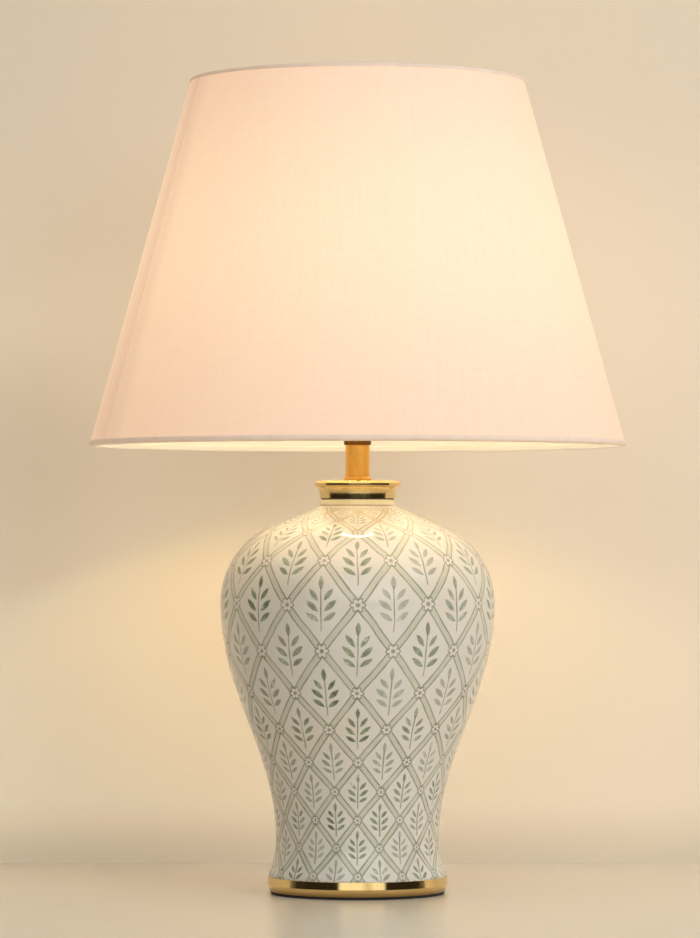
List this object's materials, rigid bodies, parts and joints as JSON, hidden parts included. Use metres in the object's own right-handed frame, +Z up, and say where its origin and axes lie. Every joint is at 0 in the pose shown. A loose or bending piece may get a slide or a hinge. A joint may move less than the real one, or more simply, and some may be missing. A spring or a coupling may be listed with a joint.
{
  "type": "table lamp",
  "caption": "Table lamp with a baluster-shaped glazed ceramic body, brass foot, cap and stem, a wire bow, a switched lamp holder and a conical fabric shade.",
  "frame": {"origin": "middle of the felt pad's underside, on the surface that the lamp stands on", "axes": "+Z up along the rod, -Y towards the front with the switch key, +X to the right seen from the front"},
  "size_m": [0.4001, 0.4, 0.6058],
  "materials": {
    "felt": "matte black felt",
    "polished_brass": "polished and lacquered",
    "satin_brass": "satin, warm gold",
    "lacquered_brass": "bright lacquered",
    "zinc_steel": "zinc plated",
    "rubber": "matte black",
    "foam": "closed-cell foam",
    "glazed_ceramic": "glossy white glaze with a painted sage-green design",
    "fibre_board": "dark fibre",
    "dark_moulding": "dark moulded",
    "bare_aluminium": "bare, drawn",
    "contact_brass": "bare",
    "white_moulding": "white moulded",
    "opal_globe": "opal, lit warm white",
    "shade_fabric": "off-white linen on a stiff backing",
    "shade_binding": "off-white tape",
    "white_wire": "white enamel"
  },
  "bodies": {
    "lamp": {"felt_pad": "felt", "brass_base": "polished_brass", "vase_cap": "polished_brass", "stem_foot_ring": "satin_brass", "stem_tube": "satin_brass", "stem_top_ring": "satin_brass", "harp_stud": "lacquered_brass", "socket_cap": "lacquered_brass", "socket_shell": "lacquered_brass", "harp": "lacquered_brass", "harp_saddle": "lacquered_brass", "base_washer": "zinc_steel", "base_lock_washer": "zinc_steel", "base_nut": "zinc_steel", "threaded_rod": "zinc_steel", "socket_set_screw": "zinc_steel", "terminal_screws": "zinc_steel", "cord_grommet": "rubber", "foot_gasket": "foam", "neck_gasket": "foam", "ceramic_body": "glazed_ceramic", "socket_liner": "fibre_board", "socket_core": "dark_moulding", "screw_shell": "bare_aluminium", "centre_contact": "contact_brass"},
    "shade": {"shade_panel": "shade_fabric", "shade_spider": "white_wire", "shade_bottom_ring": "white_wire", "shade_top_trim": "shade_binding", "shade_bottom_trim": "shade_binding"},
    "finial": {"finial": "lacquered_brass"},
    "bulb": {"bulb_contact": "contact_brass", "bulb_cap": "bare_aluminium", "bulb_housing": "white_moulding", "bulb_board": "bare_aluminium", "bulb_globe": "opal_globe"},
    "switch": {"switch_shaft": "zinc_steel", "switch_knob": "dark_moulding"},
    "harp_sleeve_left": {"harp_sleeve_left": "lacquered_brass"},
    "harp_sleeve_right": {"harp_sleeve_right": "lacquered_brass"}
  },
  "joints": [
    {"name": "shade_turn", "type": "hinge", "parent": "lamp", "child": "shade", "pos_m": [0, 0, 0.57863], "axis": [0, 0, 1], "continuous": true},
    {"name": "finial_unscrew", "type": "hinge", "parent": "lamp", "child": "finial", "pos_m": [0, 0, 0.58063], "axis": [0, 0, 1], "range_deg": [0, 3600]},
    {"name": "bulb_unscrew", "type": "hinge", "parent": "lamp", "child": "bulb", "pos_m": [0, 0, 0.37963], "axis": [0, 0, 1], "range_deg": [0, 1080]},
    {"name": "switch_turn", "type": "hinge", "parent": "lamp", "child": "switch", "pos_m": [0, -0.0173, 0.36753], "axis": [0, -1, 0], "continuous": true},
    {"name": "harp_sleeve_left_lift", "type": "slide", "parent": "lamp", "child": "harp_sleeve_left", "axis": [0, 0, 1], "range_m": [0, 0.015]},
    {"name": "harp_sleeve_right_lift", "type": "slide", "parent": "lamp", "child": "harp_sleeve_right", "axis": [0, 0, 1], "range_m": [0, 0.015]}
  ]
}
